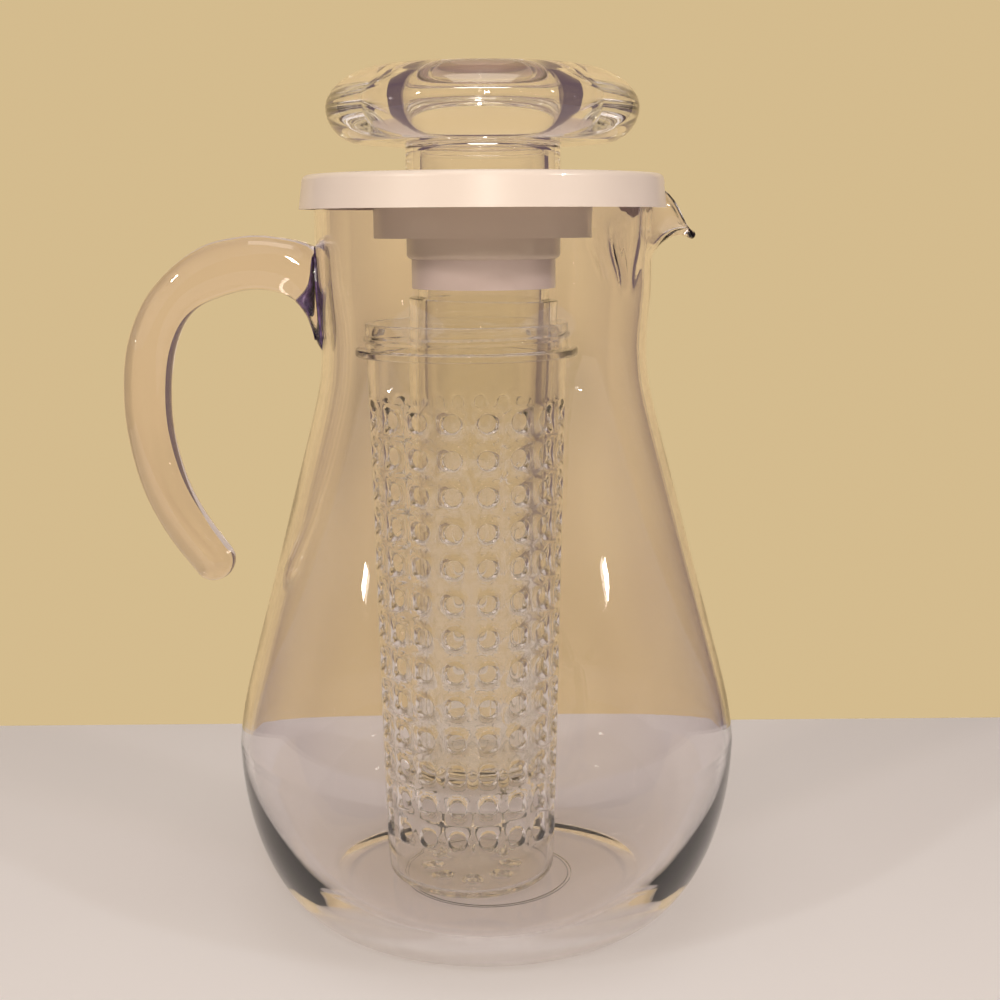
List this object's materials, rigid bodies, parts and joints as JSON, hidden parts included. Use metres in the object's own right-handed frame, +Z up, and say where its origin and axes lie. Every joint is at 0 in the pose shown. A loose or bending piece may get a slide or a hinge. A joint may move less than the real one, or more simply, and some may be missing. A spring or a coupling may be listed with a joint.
{
  "type": "pitcher",
  "caption": "Clear acrylic pitcher with a bent bar handle, a lift-off lid with a ring knob, a chilling core hung under the lid and a loose perforated infuser.",
  "frame": {"origin": "centre of the jug's flat underside, on the jug's own axis", "axes": "+Z up along the jug's axis, +X towards the spout, -X towards the handle"},
  "size_m": [0.21, 0.1736, 0.289],
  "materials": {
    "clear_acrylic": "polished clear acrylic",
    "clear_handle": "polished clear solid acrylic",
    "bond_cement": "set solvent cement, dark where it is seen through the bar",
    "white_plastic": "moulded white, semi-gloss",
    "white_hub": "moulded white, semi-gloss",
    "clear_knob": "polished clear solid acrylic",
    "white_cap": "moulded white, semi-gloss",
    "silicone": "translucent white silicone, matte",
    "clear_core": "clear moulded plastic",
    "clear_sleeve": "clear moulded plastic",
    "clear_infuser": "clear moulded plastic"
  },
  "bodies": {
    "jug": {"jug_body": "clear_acrylic", "handle": "clear_handle", "handle_bond": "bond_cement"},
    "lid": {"lid": "white_plastic", "hub": "white_hub", "knob": "clear_knob", "core_cap": "white_cap"},
    "core": {"core_tube": "clear_core", "core_sleeve": "clear_sleeve", "core_seal": "silicone"},
    "infuser": {"infuser": "clear_infuser"}
  },
  "joints": [
    {"name": "lid_lift", "type": "slide", "parent": "jug", "child": "lid", "axis": [0, 0, 1], "range_m": [0, 0.215]},
    {"name": "infuser_rise", "type": "slide", "parent": "jug", "child": "infuser", "axis": [0.1684, 0, 0.9857], "range_m": [0, 0.03668]},
    {"name": "core_turn", "type": "hinge", "parent": "lid", "child": "core", "pos_m": [0, 0, 0.2204], "axis": [0.0244, 0, 0.9997], "range_deg": [0, 360]}
  ]
}
